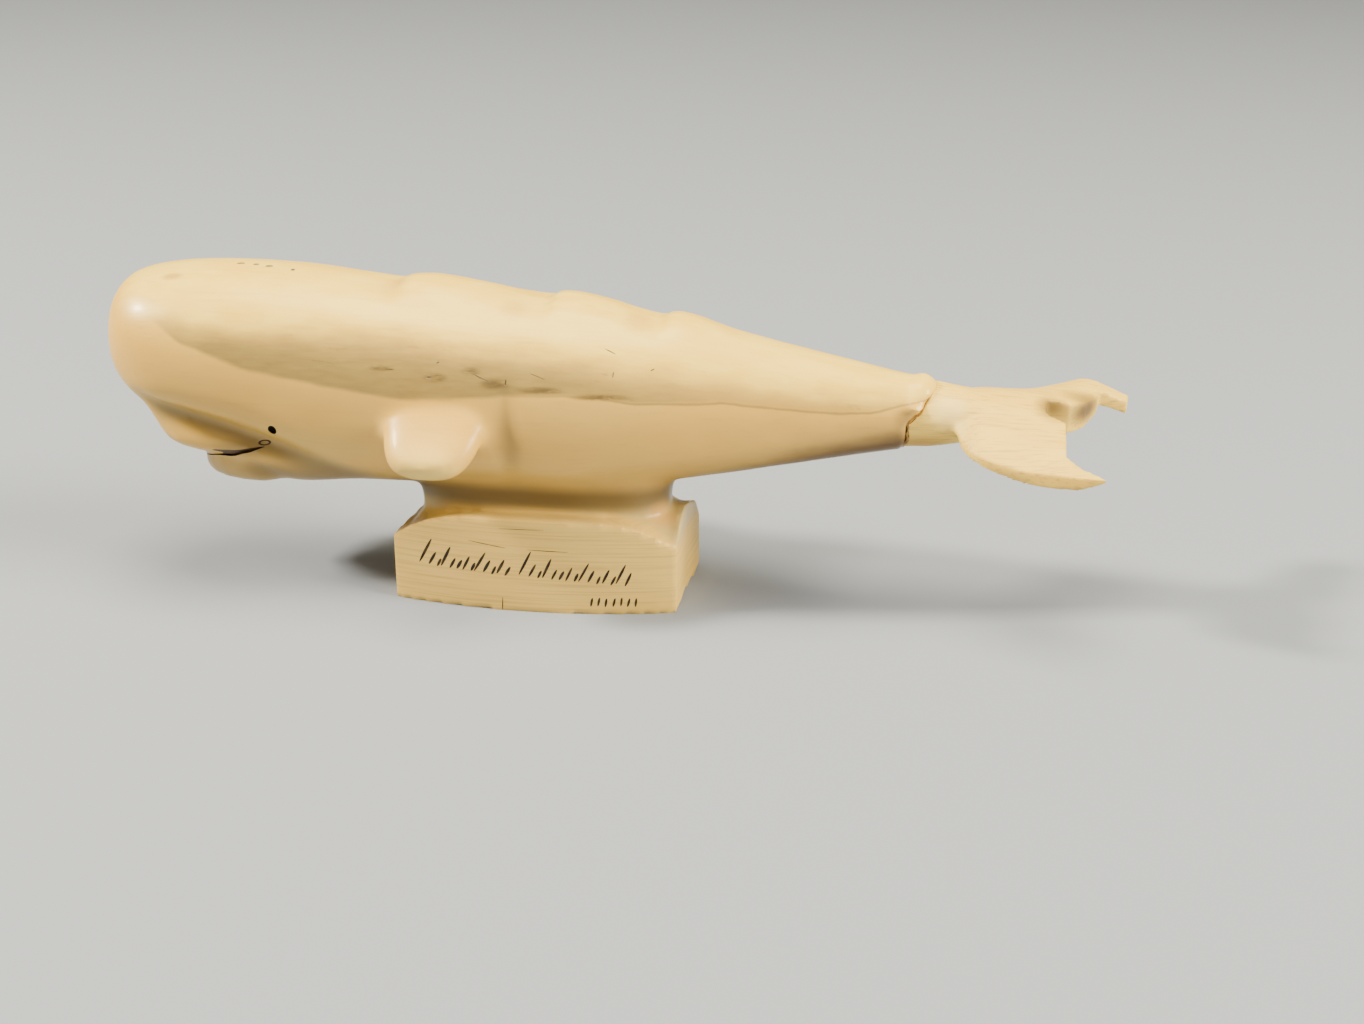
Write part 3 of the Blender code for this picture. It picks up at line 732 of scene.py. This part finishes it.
def small_marks(whale):
    """Blowhole dots, scratches and a crack, each a shallow nick."""
    tools = []
    for x, y, length in ((-33.8, -0.2, 0.95), (-32.0, -0.3, 0.75), (-30.4, -0.6, 0.9), (-27.5, -1.2, 0.5)):
        place, outward = from_above(whale, x, y)
        tools.append(spindle(place, outward, (1, 0.15, 0.25), length, 0.62, 0.2))
    marks = (
        # Scratches on the body: x, z, run in x and z, length, width, depth
        (-10.2, 27.6, 0.9, 0.1, 0.6, 0.26, 0.07),
        (-9.3, 29.1, 0.6, 0.3, 0.4, 0.26, 0.07),
        (-4.6, 27.7, 0.9, -0.42, 2.4, 0.16, 0.07),
        (-1.9, 27.3, 0.1, 1.0, 0.8, 0.20, 0.07),
        (9.0, 30.3, 0.8, -0.5, 1.4, 0.14, 0.07),
        (9.5, 28.2, 0.2, 1.0, 0.7, 0.18, 0.07),
        (1.5, 28.0, 0.9, -0.35, 1.8, 0.10, 0.07),
        (13.6, 28.6, 0.7, 0.5, 0.5, 0.14, 0.07),
        (-14.5, 28.3, 1.0, 0.05, 0.9, 0.10, 0.07),
        # Three hairlines on the plinth, and the crack in its foot
        (-4.8, 7.9, 1.0, -0.13, 5.4, 0.10, 0.07),
        (2.0, 7.55, 1.0, -0.02, 6.0, 0.10, 0.07),
        (-0.8, 10.0, 1.0, 0.02, 7.0, 0.08, 0.07),
        (-3.3, 0.7, 0.05, 1.0, 1.9, 0.13, 0.16),
    )
    for x, z, run_x, run_z, length, width, depth in marks:
        place, outward = from_side(whale, x, z)
        tools.append(spindle(place, outward, (run_x, 0, run_z), length, width, depth))
    return joined(tools, "nicks")


def eye_tools(whale):
    """A bore for each eye, sloped down a little, so that the eyes look round from above."""
    tools = []
    for side in (-1, 1):
        place, _ = from_side(whale, EYE_X, EYE_Z, side)
        slope = (0.1, 0.92 * side, 0.38)
        tools.append(spindle(place, slope, (0, 0, 1), EYE_BORE, EYE_BORE, EYE_DEPTH))
    return joined(tools, "eyes")


def lip_ring(whale):
    """The small ring pressed in at the corner of the mouth."""
    place, outward = from_side(whale, RING_X, RING_Z)
    bpy.ops.mesh.primitive_torus_add(major_radius=1.0, minor_radius=0.26, major_segments=28, minor_segments=8)
    ring = bpy.context.object
    ring.name = "lip_ring"
    out = Vector(outward).normalized()
    right = level_with(out, (1, 0, 0.15))
    turn = np.array((right, out.cross(right), out)).T
    size = np.array((0.62, 0.27, 0.5))
    set_points(ring, (unit_points(ring) * size) @ turn.T + np.array(place))
    return ring


def carve_whale():
    whale = whale_blank()
    rub_whale(whale)
    shape_whale(whale)
    whale.data.materials.append(polished_ivory())

    ink = scratched_ink("rubbed_ink", (0.012, 0.008, 0.006, 1), (0.09, 0.055, 0.03, 1))
    eye_ink = scratched_ink("eye_ink", (0.004, 0.004, 0.004, 1), (0.01, 0.008, 0.008, 1))
    mouth_dirt = scratched_ink("mouth_dirt", (0.05, 0.024, 0.009, 1), (0.11, 0.06, 0.022, 1))
    nick_dirt = scratched_ink("nick_dirt", (0.16, 0.11, 0.05, 1), (0.34, 0.25, 0.13, 1))
    cut(whale, mouth_sheet(SLIT_LINE, CUT_HALF, LIP_GAP), mouth_dirt)
    cut(whale, lip_ring(whale), mouth_dirt)
    # These three are all placed before the first of them is cut
    strokes, nicks, eyes = stroke_tools(whale), small_marks(whale), eye_tools(whale)
    cut(whale, strokes, ink)
    cut(whale, nicks, nick_dirt)
    cut(whale, eyes, eye_ink)
    return whale


def carve_flukes():
    flukes = blank_from("tail_flukes", "glued_flukes")
    close_grained(flukes, FLUKES_GRAIN)
    x = points_of(flukes)[:, 0]
    stock = 1 - ramp(x, 45.5, 49.5)
    rub_down(flukes, 0.15 + 0.8 * stock * ramp(x, 41.8, 43.2), 30)
    p = points_of(flukes)
    n = outward_of(flukes)
    p = move_out(p, n, 0.035 * hand_unevenness(p, 1.6, 4.0))

    # The broken face is pushed up against the body, and the stock stands a little below it there
    near = 1 - ramp(p[:, 0] - break_line(p[:, 1], p[:, 2]), 0.35, 0.9)
    p[:, 0] -= 0.24 * near
    step = (1 - ramp(p[:, 0] - break_line(p[:, 1], p[:, 2]), 0.6, 3.4)) * ramp(-p[:, 1], -1.0, 1.5)
    set_points(flukes, move_out(p, n, -0.22 * step))
    flukes.data.materials.append(matt_ivory())
    return flukes


def glue_film():
    """A film of glue that fills the break and stands a little proud of it below."""
    bpy.ops.mesh.primitive_cylinder_add(vertices=48, radius=1.0, depth=2.0, location=(0, 0, 0))
    film = bpy.context.object
    film.name = "glue_line"
    bpy.ops.object.mode_set(mode="EDIT")
    bpy.ops.mesh.select_all(action="SELECT")
    bpy.ops.mesh.subdivide(number_cuts=3)
    bpy.ops.object.mode_set(mode="OBJECT")
    across, up, through = unit_points(film).T
    proud = 0.90 + 0.075 * (1 - ramp(up, 0.1, 0.5)) + 0.012 * np.sin(9 * up)
    y = JOINT_HALF_WIDTH * across * proud
    z = JOINT_Z + JOINT_HALF_HEIGHT * up * proud
    x = break_line(y, z) + 0.10 + (0.14 + 0.05 * np.sin(7 * up)) * through
    set_points(film, np.stack((x, y, z), 1))
    film.data.materials.append(old_glue())
    return film


def finish_piece(piece):
    pick(piece)
    bpy.ops.object.shade_smooth_by_angle(angle=SMOOTH_ANGLE)
    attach(piece, "root")


carved_whale = carve_whale()
finish_piece(carved_whale)
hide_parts("whale_body")

glued_flukes = carve_flukes()
finish_piece(glued_flukes)
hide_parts("tail_flukes")

glue_line = glue_film()
finish_piece(glue_line)


# Stage


def studio():
    bpy.ops.mesh.primitive_plane_add(size=6.0, location=(0, 0, 0))
    floor = bpy.context.object
    floor.name = "floor"
    finish = Finish("pale_floor")
    floor.data.materials.append(finish.set(Base_Color=(0.25, 0.285, 0.40, 1), Roughness=0.9))

    world = bpy.data.worlds.new("studio")
    world.use_nodes = True
    sky = world.node_tree.nodes["Background"]
    sky.inputs["Color"].default_value = (1.0, 0.97, 0.93, 1)
    sky.inputs["Strength"].default_value = 0.06
    bpy.context.scene.world = world

    lamps = (
        # Name, place, target and size in metres, power, colour
        ("head_side", (-0.55, -0.10, 0.47), (-0.02, 0.0, 0.02), 0.09, 13.0, (1.0, 0.88, 0.60)),
        ("tail_side", (0.58, -0.12, 0.34), (0.02, 0.0, 0.02), 0.25, 11.5, (1.0, 0.88, 0.60)),
        ("overhead", (-0.04, 0.02, 0.60), (0.0, 0.0, 0.02), 0.30, 5.6, (1.0, 0.88, 0.54)),
        ("front", (0.10, -0.70, 0.45), (0.0, 0.0, 0.02), 0.60, 1.9, (1.0, 0.90, 0.66)),
    )
    for name, place, target, size, power, colour in lamps:
        light = bpy.data.lights.new(name, "AREA")
        light.size = size
        light.energy = power
        light.color = colour
        lamp = bpy.data.objects.new(name, light)
        lamp.location = place
        lamp.rotation_euler = (Vector(target) - Vector(place)).to_track_quat("-Z", "Y").to_euler()
        bpy.context.scene.collection.objects.link(lamp)


def camera():
    """The photo's viewpoint, 22.4 degrees above the level and 8 degrees to the tail's side."""
    lens = bpy.data.cameras.new("camera")
    lens.lens = 54.1
    lens.sensor_width = 36.0
    lens.clip_start = 0.01
    viewer = bpy.data.objects.new("camera", lens)
    viewer.location = (0.0457, -0.2129, 0.0980)
    viewer.rotation_euler = Euler((math.radians(67.6), 0.0, math.radians(8.0)))
    bpy.context.scene.collection.objects.link(viewer)
    bpy.context.scene.camera = viewer


studio()
camera()
